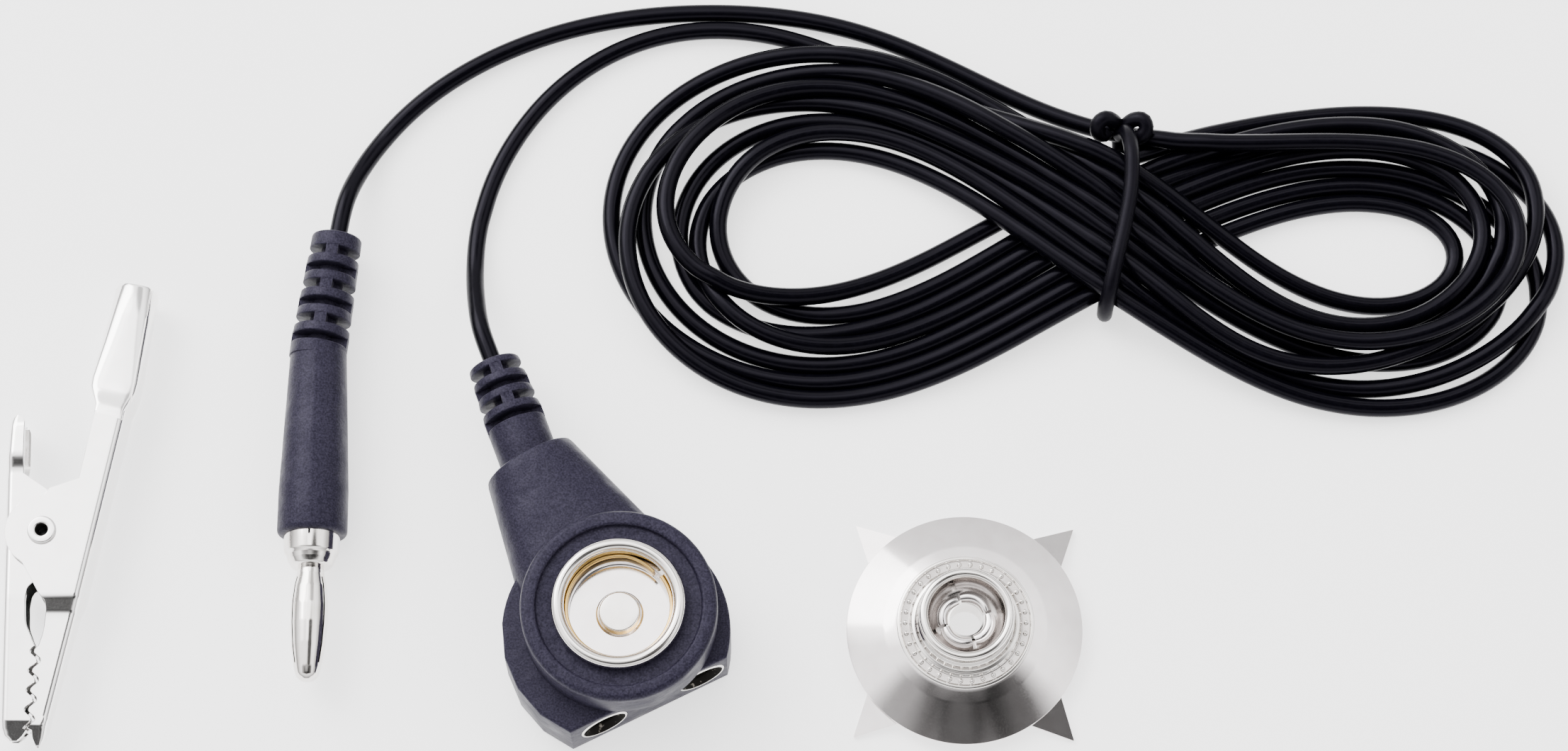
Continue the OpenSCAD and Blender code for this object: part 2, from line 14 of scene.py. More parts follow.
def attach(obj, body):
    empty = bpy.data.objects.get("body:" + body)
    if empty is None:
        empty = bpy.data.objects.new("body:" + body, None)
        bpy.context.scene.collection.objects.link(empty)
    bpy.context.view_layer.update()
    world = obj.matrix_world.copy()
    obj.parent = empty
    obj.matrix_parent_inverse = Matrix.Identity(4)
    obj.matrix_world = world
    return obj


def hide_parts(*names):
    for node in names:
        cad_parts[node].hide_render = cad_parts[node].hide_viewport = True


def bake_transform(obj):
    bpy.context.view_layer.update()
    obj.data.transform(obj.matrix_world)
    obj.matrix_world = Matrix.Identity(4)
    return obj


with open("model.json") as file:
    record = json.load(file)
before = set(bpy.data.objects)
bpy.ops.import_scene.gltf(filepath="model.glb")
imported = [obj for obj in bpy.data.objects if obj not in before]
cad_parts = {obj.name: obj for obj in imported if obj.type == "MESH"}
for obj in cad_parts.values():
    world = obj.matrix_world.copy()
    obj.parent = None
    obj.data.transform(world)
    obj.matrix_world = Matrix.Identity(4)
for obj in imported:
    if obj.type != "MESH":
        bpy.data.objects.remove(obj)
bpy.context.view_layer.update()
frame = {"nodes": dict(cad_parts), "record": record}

MM = 0.001
TINY = 1e-6


# ---- places that the pieces share, in millimetres ----

BLOCK_TURN = 26.5
NECK_TURN = BLOCK_TURN + 3
BUSHING_EXIT = (-14.0, 28.8, 5.0)
BUSHING_LEAN = 20.5
PLUG_X = -33.0
PLUG_Z = 3.75
PLUG_LEAN = 7.0
CLIP_AT = (-61.4, 9.9, 3.2)
PLATE_AT = (36.35, 0.2, 0.0)
CORD_D = 2.0
TIE_D = 1.7


def turned(x, y, z, degrees):
    """A frame at a point, turned about Z."""
    return Matrix.Translation((x, y, z)) @ Matrix.Rotation(math.radians(degrees), 4, "Z")


def along_y(x, y, z, degrees=0):
    """A frame at a point whose own Z runs along +Y, turned about the model's Z."""
    return turned(x, y, z, degrees) @ Matrix.Rotation(math.radians(-90), 4, "X")


IN_BLOCK = turned(0, 0, 0, BLOCK_TURN)


# ---- materials ----

def new_material(name):
    """A material with its node tree, its shader and a texture coordinate in millimetres."""
    material = bpy.data.materials.new(name)
    material.use_nodes = True
    tree = material.node_tree
    shader = tree.nodes["Principled BSDF"]
    place = tree.nodes.new("ShaderNodeTexCoord")
    scale = tree.nodes.new("ShaderNodeVectorMath")
    scale.operation = "SCALE"
    scale.inputs["Scale"].default_value = 1 / MM
    tree.links.new(place.outputs["Object"], scale.inputs[0])
    return material, tree, shader, scale.outputs[0]


def noise(tree, place, scale, detail=3.0, roughness=0.5, stretch=None):
    """A noise texture whose scale is in cycles per millimetre."""
    node = tree.nodes.new("ShaderNodeTexNoise")
    node.inputs["Scale"].default_value = scale
    node.inputs["Detail"].default_value = detail
    node.inputs["Roughness"].default_value = roughness
    if stretch is not None:
        mapping = tree.nodes.new("ShaderNodeMapping")
        mapping.inputs["Scale"].default_value = stretch
        tree.links.new(place, mapping.inputs["Vector"])
        place = mapping.outputs["Vector"]
    tree.links.new(place, node.inputs["Vector"])
    return node.outputs["Fac"]


def ramp(tree, value, low, high, out_low, out_high):
    """A value taken from one range to another and clamped."""
    node = tree.nodes.new("ShaderNodeMapRange")
    node.inputs["From Min"].default_value = low
    node.inputs["From Max"].default_value = high
    node.inputs["To Min"].default_value = out_low
    node.inputs["To Max"].default_value = out_high
    tree.links.new(value, node.inputs["Value"])
    return node.outputs["Result"]


def mixed(tree, factor, first, second):
    """A colour between two, by a factor."""
    node = tree.nodes.new("ShaderNodeMix")
    node.data_type = "RGBA"
    node.inputs["A"].default_value = (*first, 1)
    node.inputs["B"].default_value = (*second, 1)
    tree.links.new(factor, node.inputs["Factor"])
    return node.outputs["Result"]


def bumped(tree, height, distance, normal=None, strength=1.0):
    """A bump of a depth in millimetres, on top of another normal if one is given."""
    node = tree.nodes.new("ShaderNodeBump")
    node.inputs["Strength"].default_value = strength
    node.inputs["Distance"].default_value = distance * MM
    tree.links.new(height, node.inputs["Height"])
    if normal is not None:
        tree.links.new(normal, node.inputs["Normal"])
    return node.outputs["Normal"]


def moulding_material():
    """Blue black PVC with a fine moulded grain and slow uneven shrinkage."""
    material, tree, shader, place = new_material("black_moulding")
    grain = noise(tree, place, 5.0, 3.0)
    sink = noise(tree, place, 0.35, 2.0)
    colour = mixed(tree, ramp(tree, grain, 0.35, 0.7, 0, 1), (0.0085, 0.0074, 0.0148), (0.028, 0.025, 0.042))
    tree.links.new(colour, shader.inputs["Base Color"])
    tree.links.new(ramp(tree, sink, 0.3, 0.7, 0.34, 0.5), shader.inputs["Roughness"])
    slow = bumped(tree, sink, 0.25)
    tree.links.new(bumped(tree, grain, 0.03, slow, 0.7), shader.inputs["Normal"])
    shader.inputs["Specular IOR Level"].default_value = 0.12
    shader.inputs["Specular Tint"].default_value = (0.84, 0.80, 1.0, 1)
    return material


def cord_material(name, colour, roughness):
    """Glossy extruded PVC, with a slow ripple in its surface and a little haze."""
    material, tree, shader, place = new_material(name)
    ripple = noise(tree, place, 0.25, 1.0)
    haze = noise(tree, place, 2.0, 3.0)
    dusty = tuple(2 * c for c in colour)
    tint = mixed(tree, ramp(tree, haze, 0.5, 0.8, 0, 0.6), colour, dusty)
    tree.links.new(tint, shader.inputs["Base Color"])
    tree.links.new(ramp(tree, haze, 0.35, 0.7, roughness, roughness + 0.08), shader.inputs["Roughness"])
    tree.links.new(bumped(tree, ripple, 0.05), shader.inputs["Normal"])
    shader.inputs["Specular IOR Level"].default_value = 0.09
    shader.inputs["Specular Tint"].default_value = (0.84, 0.80, 1.0, 1)
    return material


def metal_material(name, colour, dark, roughness, scratch_depth, stretch=(1, 1, 1)):
    """Plated metal with faint scratches, cloudy gloss and a little tarnish."""
    material, tree, shader, place = new_material(name)
    cloud = noise(tree, place, 0.5, 3.0)
    scratch = noise(tree, place, 6.0, 4.0, 0.6, stretch)
    tarnish = mixed(tree, ramp(tree, cloud, 0.4, 0.75, 0, 0.5), colour, dark)
    gloss = ramp(tree, scratch, 0.3, 0.75, roughness * 0.8, roughness * 1.5)
    tree.links.new(tarnish, shader.inputs["Base Color"])
    tree.links.new(gloss, shader.inputs["Roughness"])
    tree.links.new(bumped(tree, scratch, scratch_depth), shader.inputs["Normal"])
    shader.inputs["Metallic"].default_value = 1.0
    return material


def bore_material():
    """Painted shade for the wall of a deep hole: near-black, with a few painted bright glints."""
    material, tree, shader, place = new_material("dull_bore")
    glint_spots = noise(tree, place, 1.6, 3.0)
    # painted shade: a near-black wall, with painted glints in the lighter colour at the spots
    colour = mixed(tree, ramp(tree, glint_spots, 0.6, 0.75, 0, 1), (0.012, 0.011, 0.010), (0.35, 0.32, 0.28))
    tree.links.new(colour, shader.inputs["Base Color"])
    tree.links.new(ramp(tree, glint_spots, 0.3, 0.7, 0.7, 0.4), shader.inputs["Roughness"])
    shader.inputs["Specular IOR Level"].default_value = 0.05
    return material


def resistor_material():
    """A painted resistor body with a soft mottle."""
    material, tree, shader, place = new_material("resistor_body")
    mottle = noise(tree, place, 2.5, 3.0)
    tree.links.new(mixed(tree, mottle, (0.10, 0.22, 0.38), (0.16, 0.32, 0.50)), shader.inputs["Base Color"])
    tree.links.new(ramp(tree, mottle, 0.3, 0.7, 0.3, 0.45), shader.inputs["Roughness"])
    tree.links.new(bumped(tree, mottle, 0.03), shader.inputs["Normal"])
    return material


MATERIALS = {
    "black_moulding": moulding_material(),
    "cord_jacket": cord_material("cord_jacket", (0.0010, 0.0009, 0.0019), 0.19),
    "tie_jacket": cord_material("tie_jacket", (0.0014, 0.0012, 0.0024), 0.36),
    "bright_nickel": metal_material("bright_nickel", (0.80, 0.775, 0.75), (0.62, 0.58, 0.53), 0.09, 0.0005),
    "satin_nickel": metal_material("satin_nickel", (0.80, 0.765, 0.76), (0.68, 0.63, 0.63), 0.10, 0.0006),
    "clip_steel": metal_material("clip_steel", (0.93, 0.92, 0.91), (0.84, 0.82, 0.81), 0.12, 0.0004),
    "spring_brass": metal_material("spring_brass", (0.74, 0.50, 0.17), (0.42, 0.26, 0.08), 0.12, 0.0005),
    "tinned_wire": metal_material("tinned_wire", (0.72, 0.72, 0.72), (0.55, 0.55, 0.55), 0.30, 0.004),
    "resistor_body": resistor_material(),
    # darker nickel used as painted shade in the stud's flange groove and hollow centre
    "smoked_nickel": metal_material("smoked_nickel", (0.44, 0.415, 0.40), (0.29, 0.27, 0.26), 0.18, 0.001),
    "dull_bore": bore_material(),
}


# ---- mesh helpers ----

def arc(cx, cy, r, start, end, n):
    """n + 1 points along an arc, with its angles in degrees."""
    angles = [math.radians(start + (end - start) * i / n) for i in range(n + 1)]
    return [(cx + r * math.cos(a), cy + r * math.sin(a)) for a in angles]


def rounded(corners, n=4):
    """An open outline whose corners (x, y, radius) are rounded, and left sharp where radius is missing."""
    points = []
    for i, corner in enumerate(corners):
        here = Vector(corner[:2])
        radius = corner[2] if len(corner) > 2 else 0
        if not radius or i in (0, len(corners) - 1):
            points.append(tuple(here))
            continue
        back = (Vector(corners[i - 1][:2]) - here).normalized()
        on = (Vector(corners[i + 1][:2]) - here).normalized()
        half = back.angle(on) / 2
        reach = radius / math.tan(half)
        centre = here + (back + on).normalized() * (radius / math.sin(half))
        first, last = here + back * reach - centre, here + on * reach - centre
        turn = first.angle(last)
        for k in range(n + 1):
            a, b = math.sin(turn * (1 - k / n)), math.sin(turn * k / n)
            points.append(tuple(centre + (a * first + b * last) / math.sin(turn)))
    return points


def lathe(profile, count=96, closed=False):
    """A solid of revolution about Z from points (radius, height), joined end to start if it is closed."""
    angles = [2 * math.pi * k / count for k in range(count)]
    verts, rows, faces = [], [], []
    for r, z in profile:
        if r < TINY:
            rows.append([len(verts)] * count)
            verts.append((0, 0, z))
        else:
            rows.append(list(range(len(verts), len(verts) + count)))
            verts += [(r * math.cos(a), r * math.sin(a), z) for a in angles]
    pairs = list(zip(rows, rows[1:]))
    if closed:
        pairs.append((rows[-1], rows[0]))
    for low, high in pairs:
        for k in range(count):
            m = (k + 1) % count
            face = list(dict.fromkeys([low[k], low[m], high[m], high[k]]))
            if len(face) > 2:
                faces.append(face)
    return verts, faces


def loft(sections):
    """A closed skin over rings of equal count, with a flat face at each end."""
    count = len(sections[0])
    verts = [p for ring in sections for p in ring]
    faces = [list(range(count))[::-1], [len(verts) - count + k for k in range(count)]]
    for i in range(len(sections) - 1):
        for k in range(count):
            m = (k + 1) % count
            low, high = i * count, (i + 1) * count
            faces.append([low + k, low + m, high + m, high + k])
    return verts, faces


def mesh_of(name, shape, place=Matrix.Identity(4)):
    """A mesh in metres from a shape in millimetres, its faces turned outwards."""
    verts, faces = shape
    mesh = bpy.data.meshes.new(name)
    mesh.from_pydata([tuple((place @ Vector(v)) * MM) for v in verts], [], faces)
    work = bmesh.new()
    work.from_mesh(mesh)
    bmesh.ops.recalc_face_normals(work, faces=work.faces)
    work.to_mesh(mesh)
    work.free()
    return mesh


def combined(name, first, second, operation):
    """The union or difference of two meshes, as a new mesh."""
    one = bpy.data.objects.new("first", first)
    two = bpy.data.objects.new("second", second)
    for each in (one, two):
        bpy.context.scene.collection.objects.link(each)
    cut = one.modifiers.new("cut", "BOOLEAN")
    cut.operation = operation
    cut.object = two
    cut.solver = "EXACT"
    bpy.context.view_layer.update()
    shown = one.evaluated_get(bpy.context.evaluated_depsgraph_get())
    mesh = bpy.data.meshes.new_from_object(shown)
    mesh.name = name
    for each in (one, two):
        bpy.data.objects.remove(each)
    return mesh


def piece(name, mesh, body, material, replaces=(), sharp=38):
    """An object of the mesh, shaded smooth below an angle, that rides on a body if one is given."""
    made = bpy.data.objects.new(name, mesh)
    bpy.context.scene.collection.objects.link(made)
    mesh.materials.clear()
    mesh.materials.append(MATERIALS[material])
    mesh.shade_smooth()
    mesh.set_sharp_from_angle(angle=math.radians(sharp))
    if body:
        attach(made, body)
    if replaces:
        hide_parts(*replaces)
    return made


# ---- cord ----

BLOCK_ROUTE = [
    (-14.0, 28.8, 5.0), (-15.5, 33.0, 4.7), (-16.2, 37.0, 3.2), (-16.5, 41.0, 1.6),
    (-16.4, 44.5, 1.0), (-15.3, 50.0, 1.0), (-12.8, 56.0, 1.0), (-9.0, 61.6, 1.0),
    (-3.6, 66.2, 1.0), (2.0, 68.9, 1.0), (8.5, 70.0, 1.0), (15.0, 69.6, 1.0),
    (21.0, 67.9, 1.0), (26.5, 65.2, 1.0)]
PLUG_ROUTE = [
    (-31.4, 43.8, 3.7), (-30.6, 48.5, 3.3), (-29.2, 52.5, 1.9), (-27.2, 56.0, 1.1),
    (-24.0, 59.8, 1.0), (-18.6, 64.1, 1.0), (-11.9, 67.8, 1.2), (-4.9, 70.2, 2.0),
    (1.5, 71.2, 2.8), (8.8, 71.4, 3.0), (16.0, 71.3, 2.6), (23.0, 70.6, 1.8),
    (30.0, 68.1, 1.2), (36.0, 65.0, 1.1), (42.0, 61.3, 1.1), (48.5, 57.6, 1.2)]

# Each turn of the hank: y at its top, x and y of its far end, y at its bottom, and its height
RIGHT_TURNS = [
    (55.0, 99.0, 44.5, 31.0, 7.0), (59.4, 101.0, 49.0, 28.6, 4.0),
    (56.6, 102.9, 44.0, 26.6, 2.0), (57.6, 97.6, 46.5, 32.4, 3.0),
    (53.4, 101.2, 38.0, 24.8, 1.0), (55.6, 95.8, 44.5, 32.8, 5.0),
    (51.4, 97.4, 39.6, 29.6, 1.2), (50.2, 93.6, 43.0, 35.4, 1.4)]
LEFT_TURNS = [
    (62.8, 2.7, 46.0, 36.4, 5.0), (59.4, 4.5, 45.0, 32.9, 1.0),
    (57.7, 8.0, 45.5, 34.6, 2.0), (64.5, 0.9, 47.0, 29.3, 3.0),
    (56.0, 6.2, 43.5, 31.1, 1.6), (66.2, -2.6, 47.5, 27.6, 2.4),
    (61.1, -0.9, 44.5, 25.8, 4.0)]
# Where the turns cross the tie, going down to the right and up to the right
DOWN_AT_TIE = [46.2, 41.9, 39.8, 48.4, 37.6, 50.5, 44.1, 52.7]
UP_AT_TIE = [53.2, 48.4, 50.8, 43.6, 46.0, 41.2, 38.8]
TIE_X = 53.0
TIE_Y = 46.0
TIE_SLOPE = 0.105
DOWN_Z = 5.4
UP_Z = 3.4
CORD_STEP = 1.6

# How the cord settles, for each round: each is a share of the distance, and WEIGHT is in millimetres
STRAIGHTEN = 0.12
UNBEND = 0.08
WEIGHT = 0.015
STAY = 0.04
PUSH = 1.3


def quarter(far_x, far_y, width, height, start, end, level, n=5):
    """A quarter of an ellipse about the inside of a lobe's end."""
    centre = far_x - width
    points = []
    for i in range(n + 1):
        a = math.radians(start + (end - start) * i / n)
        points.append((centre + width * math.cos(a), far_y + height * math.sin(a), level))
    return points


def lobe_end(turn, side):
    """The round end of one turn, from its top to its bottom. side is 1 to the right and -1 to the left."""
    top, far_x, far_y, low, level = turn
    above, below = top - far_y, far_y - low
    flat = 1.5 if side > 0 else 1.15
    first = quarter(far_x, far_y, side * flat * above, above, 90, 0, level)
    second = quarter(far_x, far_y, side * flat * below, below, 0, -90, level)
    return first + second[1:]


def hermite(points, step):
    """A smooth curve through points, its slopes weighted by how near the neighbours are."""
    p = np.array(points, float)
    gaps = np.linalg.norm(np.diff(p, axis=0), axis=1)[:, None]
    slopes = np.diff(p, axis=0) / gaps
    way = np.empty_like(p)
    way[0], way[-1] = slopes[0], slopes[-1]
    way[1:-1] = (slopes[:-1] * gaps[1:] + slopes[1:] * gaps[:-1]) / (gaps[1:] + gaps[:-1])
    made = []
    for i, gap in enumerate(gaps[:, 0]):
        t = np.linspace(0, 1, max(3, int(gap / step) + 2))[:-1, None]
        made.append((2 * t**3 - 3 * t**2 + 1) * p[i] + (t**3 - 2 * t**2 + t) * gap * way[i]
                    + (3 * t**2 - 2 * t**3) * p[i + 1] + (t**3 - t**2) * gap * way[i + 1])
    return np.vstack([*made, p[-1:]])


def evenly(points, step):
    """The same line with its points about a step apart."""
    along = np.concatenate([[0], np.cumsum(np.linalg.norm(np.diff(points, axis=0), axis=1))])
    at = np.linspace(0, along[-1], int(round(along[-1] / step)) + 1)
    return np.stack([np.interp(at, along, points[:, k]) for k in range(3)], axis=1)


def inside(exit_point, degrees, depth):
    """The point a depth back inside a strain relief whose end is turned by degrees."""
    a = math.radians(degrees)
    x, y, z = exit_point
    return (x - depth * math.sin(a), y - depth * math.cos(a), z)


def drawn_cord():
    """The cord's line before it settles, from the block to the plug."""
    points = [inside(BLOCK_ROUTE[0], -BUSHING_LEAN, 2.0)] + BLOCK_ROUTE
    points += [(31.5, 62.4, 3.4), (38.8, 57.9, 4.4), (TIE_X, DOWN_AT_TIE[-1], DOWN_Z)]
    for k in range(len(RIGHT_TURNS) - 1, -1, -1):
        points += lobe_end(RIGHT_TURNS[k], 1)[::-1]
        if k > 0:
            points.append((TIE_X, UP_AT_TIE[k - 1], UP_Z))
            points += lobe_end(LEFT_TURNS[k - 1], -1)[::-1]
            points.append((TIE_X, DOWN_AT_TIE[k - 1], DOWN_Z))
    points += [(63.0, 54.2, 4.4), (54.5, 55.0, 4.2)]
    points += PLUG_ROUTE[::-1] + [inside(PLUG_ROUTE[0], PLUG_LEAN, 2.0)]
    return evenly(hermite(points, 0.5), CORD_STEP)


def bench_under(points):
    """How low the cord may lie: on the bench, or on the tie where it passes underneath."""
    off = (points[:, 0] - TIE_X - TIE_SLOPE * (points[:, 1] - TIE_Y)) / 4.5
    near = (np.abs(points[:, 1] - TIE_Y) < 12) * np.exp(-off**2)
    return CORD_D / 2 + TIE_D * near


def unbend(p, free, w):
    """Takes out bends shorter than about w steps, and leaves the long curves."""
    bend = p[:-4 * w] - 4 * p[w:-3 * w] + 6 * p[2 * w:-2 * w] - 4 * p[3 * w:-w] + p[4 * w:]
    p[2 * w:-2 * w] -= UNBEND * bend * free[2 * w:-2 * w, None]


def settled(points, rounds=260, held=14):
    """The cord at rest: stiff, heavy, and pushed apart where it would pass through itself.

    The first and last held points stay where they are, inside the strain reliefs and just outside them.
    """
    p, home = points.copy(), points.copy()
    step = np.linalg.norm(np.diff(p, axis=0), axis=1).mean()
    first, second = np.triu_indices(len(p), int(math.ceil(2.2 * CORD_D / step)) + 1)
    free = np.ones(len(p))
    free[:held] = 0
    free[-held:] = 0
    for k in range(rounds):
        if k % 10 == 0:
            near = np.linalg.norm(p[first] - p[second], axis=1) < 2.2 * CORD_D
            a, b = first[near], second[near]
        p[1:-1] += STRAIGHTEN * ((p[:-2] + p[2:]) / 2 - p[1:-1]) * free[1:-1, None]
        for width in (1, 2, 4):
            unbend(p, free, width)
        p[:, 2] -= WEIGHT * free
        p[:, :2] += STAY * (home[:, :2] - p[:, :2]) * free[:, None]
        for sweep in range(3):
            apart = p[a] - p[b]
            gap = np.maximum(np.linalg.norm(apart, axis=1), TINY)
            push = np.maximum(CORD_D - gap, 0) / gap
            move, count = np.zeros_like(p), np.zeros(len(p))
            for index, sign in ((a, 0.5), (b, -0.5)):
                np.add.at(move, index, sign * apart * push[:, None])
                np.add.at(count, index, push > 0)
            p += PUSH * move / np.maximum(count, 1)[:, None] * free[:, None]
            p[:, 2] = np.where(free > 0, np.maximum(p[:, 2], bench_under(p)), p[:, 2])
    return p


def wire_curve(name, points, diameter):
    """A round wire along points in millimetres, as a curve of one open spline."""
    data = bpy.data.curves.new(name, "CURVE")
    data.dimensions = "3D"
    data.bevel_depth = diameter / 2 * MM
    data.bevel_resolution = 5
    data.use_fill_caps = True
    spline = data.splines.new("POLY")
    spline.points.add(len(points) - 1)
    for point, place in zip(spline.points, points):
        point.co = (*(Vector(place) * MM), 1)
    spline.use_smooth = True
    made = bpy.data.objects.new(name, data)
    bpy.context.scene.collection.objects.link(made)
    return made


def make_cord():
    """The whole cord as one curve."""
    line = settled(drawn_cord())
    made = wire_curve("cord", evenly(hermite(line, 0.4), 0.9), CORD_D)
    made.data.materials.append(MATERIALS["cord_jacket"])
    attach(made, "ground_block")
    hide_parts("cord_lead_block", "cord_lead_plug", "cord_hank")
    return made


def finish_or_shade(mesh, material, frame_of, chosen):
    """Gives another material to the faces that chosen(radius, height) picks, in millimetres about an axis: a
    finish, or painted shade.
    """
    mesh.materials.append(MATERIALS[material])
    back = frame_of.inverted()
    for face in mesh.polygons:
        x, y, z = back @ (face.center / MM)
        if chosen(math.hypot(x, y), z):
            face.material_index = len(mesh.materials) - 1


# ---- ground block ----

BASE_AT = (-1.0, -1.1)
BASE_R = 12.0
BASE_H = 7.4
FACE_D = 8.95
HEAD_R = 10.3
HEAD_TOP = 12.1
ANNULUS_Z = 11.5
RIM_TOP = 13.1
CUP_FLOOR = 8.3
CUP_R = 5.7
JACKS = {"jack_sleeve_left": -6.25, "jack_sleeve_right": 5.05}
JACK_Z = 4.0
# The neck at the end near the cord. It widens towards the head, and power is how square its section is
NECK_LENGTH = 19.8
NECK_WIDTH = 5.15
NECK_TOP = 10.0
NECK_POWER = 2.2


def inset(outline, distance):
    """A convex outline moved inwards by a distance."""
    points = [Vector(p) for p in outline]
    moved = []
    for i, here in enumerate(points):
        back = (here - points[i - 1]).normalized()
        on = (points[(i + 1) % len(points)] - here).normalized()
        first, second = Vector((-back.y, back.x)), Vector((-on.y, on.x))
        moved.append(here + distance * (first + second) / (1 + first.dot(second)))
    return [tuple(p) for p in moved]


def pad(outline, low, high, edge=0.0, n=4):
    """A convex outline raised into a block, its top and bottom edges rounded."""
    steps = [0.0]
    if edge:
        steps = [math.radians(90 * k / n) for k in range(n + 1)]
    levels = [(edge * (1 - math.sin(a)), low + edge * (1 - math.cos(a))) for a in steps]
    levels += [(d, low + high - z) for d, z in reversed(levels)]
    return loft([[(x, y, z) for x, y in inset(outline, d)] for d, z in levels])


def base_outline():
    """Round at the back, flat at the jack face, and faceted on one side."""
    corner = math.degrees(math.asin((FACE_D + BASE_AT[1]) / BASE_R))
    back = arc(*BASE_AT, BASE_R, -corner, 150, 48)
    return back + arc(*BASE_AT, BASE_R, 150, 180 + corner, 4)[1:]


def rod(radius, low, high, place=Matrix.Identity(4)):
    """A plain rod mesh, to cut holes with."""
    return mesh_of("rod", lathe([(0, low), (radius, low), (radius, high), (0, high)]), place)


def make_base():
    """The lower shell, with the two jack holes in its flat face."""
    mesh = mesh_of("block_base", pad(base_outline(), 0, BASE_H, 0.35), IN_BLOCK)
    for x in JACKS.values():
        hole = rod(2.7, -1, 15.5, IN_BLOCK @ along_y(x, -FACE_D, JACK_Z))
        mesh = combined("block_base", mesh, hole, "DIFFERENCE")
    return piece("block_base_shell", mesh, "ground_block", "black_moulding", ["block_base"])


def neck_section(y, width, top, bottom, power):
    """A section across the neck: an oval that squares up towards the head."""
    middle, half = (top + bottom) / 2, (top - bottom) / 2
    ring = []
    for k in range(64):
        a = 2 * math.pi * k / 64
        c, s = math.cos(a), math.sin(a)
        ring.append((width * math.copysign(abs(c) ** (2 / power), c), y,
                     middle + half * math.copysign(abs(s) ** (2 / power), s)))
    return ring


def make_head():
    """The round head with its raised ring and sunk annulus, and the neck towards the cord."""
    profile = rounded([(0, BASE_H), (HEAD_R, BASE_H, 0.15), (HEAD_R, HEAD_TOP, 0.7), (8.68, HEAD_TOP, 0.3),
                       (8.68, ANNULUS_Z, 0.2), (0, ANNULUS_Z)], 6)
    head = mesh_of("head", lathe(profile, 128), IN_BLOCK)
    sections = []
    for back in (0, 1, 2, 4, 7, 10, 13, 16, NECK_LENGTH):
        share = back / NECK_LENGTH
        width, top, power = NECK_WIDTH + 4.8 * share, NECK_TOP + 0.9 * share, NECK_POWER + 1.1 * share
        sections.append(neck_section(NECK_LENGTH - back, width, top, 0.1, power))
    for y, in_by in ((20.1, 0.12), (20.3, 0.5)):
        sections.insert(0, neck_section(y, NECK_WIDTH - in_by, NECK_TOP - in_by, 0.1 + in_by, NECK_POWER))
    neck = mesh_of("neck", loft(sections), turned(0, 0, 0, NECK_TURN))
    base = mesh_of("base", pad(base_outline(), -1, BASE_H + 0.05), IN_BLOCK)
    neck = combined("neck", neck, base, "DIFFERENCE")
    mesh = combined("block_head", head, neck, "UNION")
    mesh = combined("block_head", mesh, rod(CUP_R + 0.45, CUP_FLOOR - 0.4, 14), "DIFFERENCE")
    return piece("block_head_neck", mesh, "ground_block", "black_moulding", ["block_head"], 32)


def slotted_sleeve(tube_r, tube, length, root_r, end_r, grooves, first, pitch):
    """A strain relief about +Z: a smooth tube, then ribs between deep grooves that bridges cross."""
    core, width, bridge = 1.45, 0.95, 1.3
    corners = [(0, -1.2), (tube_r, -1.2)]
    if tube > 0:
        corners += [(tube_r, tube - 0.02, 0.15)]
    bars = []
    for k in range(grooves):
        y = tube + first + k * pitch
        radius = root_r + (end_r - root_r) * (y - tube) / (length - tube)
        corners += [(radius, y - width / 2, 0.13), (core, y - width / 2), (core, y + width / 2),
                    (radius, y + width / 2, 0.13)]
        reach, half = radius - 0.06, bridge / 2
        x, z = (reach, half) if k % 2 == 0 else (half, reach)
        bars.append([[(sx * x, sz * z, y + sy * (width / 2 + 0.25)) for sx, sz in
                      ((-1, -1), (1, -1), (1, 1), (-1, 1))] for sy in (-1, 1)])
    corners += [(end_r, length, 0.3), (0, length)]
    return lathe(rounded(corners), 72), [loft(bar) for bar in bars]


def make_sleeve(name, place, *sizes):
    """A strain relief with its bridges joined on."""
    body, bars = slotted_sleeve(*sizes)
    mesh = mesh_of(name, body, place)
    for bar in bars:
        mesh = combined(name, mesh, mesh_of("bar", bar, place), "UNION")
    return piece(name + "_ribbed", mesh, "ground_block", "black_moulding", [name], 40)


def make_socket():
    """The nickel cup with its rolled rim, the split spring ring and the rivet."""
    cup = rounded([(0, CUP_FLOOR), (CUP_R, CUP_FLOOR, 0.5), (CUP_R, RIM_TOP - 0.66)], 6)
    cup += arc(6.38, RIM_TOP - 0.66, 0.66, 180, -115, 24)
    cup += [(6.1, CUP_FLOOR - 0.4), (0, CUP_FLOOR - 0.4)]
    mesh = mesh_of("snap_cup", lathe(cup, 128))
    piece("snap_cup_rolled", mesh, "ground_block", "bright_nickel", ["snap_cup"])
    finish_or_shade(mesh, "satin_nickel", Matrix.Identity(4), lambda r, z: r < 5.6 and z > CUP_FLOOR - 0.1)
    wall = rounded([(5.3, 10.2), (5.3, 9.6, 0.15), (5.68, 9.6, 0.15), (5.68, 11.3, 0.18), (5.3, 11.3, 0.18),
                    (5.3, 10.4)])
    sections = []
    for k in range(121):
        a = math.radians(47 + 350 * k / 120)
        sunk = 0.22 * max(0, 1 - k / 12)
        sections.append([((r - sunk) * math.cos(a), (r - sunk) * math.sin(a), z - sunk) for r, z in wall])
    piece("snap_spring_split", mesh_of("snap_spring", loft(sections)), "ground_block", "spring_brass",
          ["snap_spring_ring"])
    boss = rounded([(0, CUP_FLOOR + 0.02), (2.5, CUP_FLOOR + 0.02), (2.32, CUP_FLOOR + 0.35, 0.3),
                    (2.12, CUP_FLOOR + 1.05, 0.22), (0, CUP_FLOOR + 1.1)], 6)
    mesh = mesh_of("snap_rivet", lathe(boss, 72))
    piece("snap_rivet_boss", mesh, "ground_block", "bright_nickel", ["snap_rivet"])


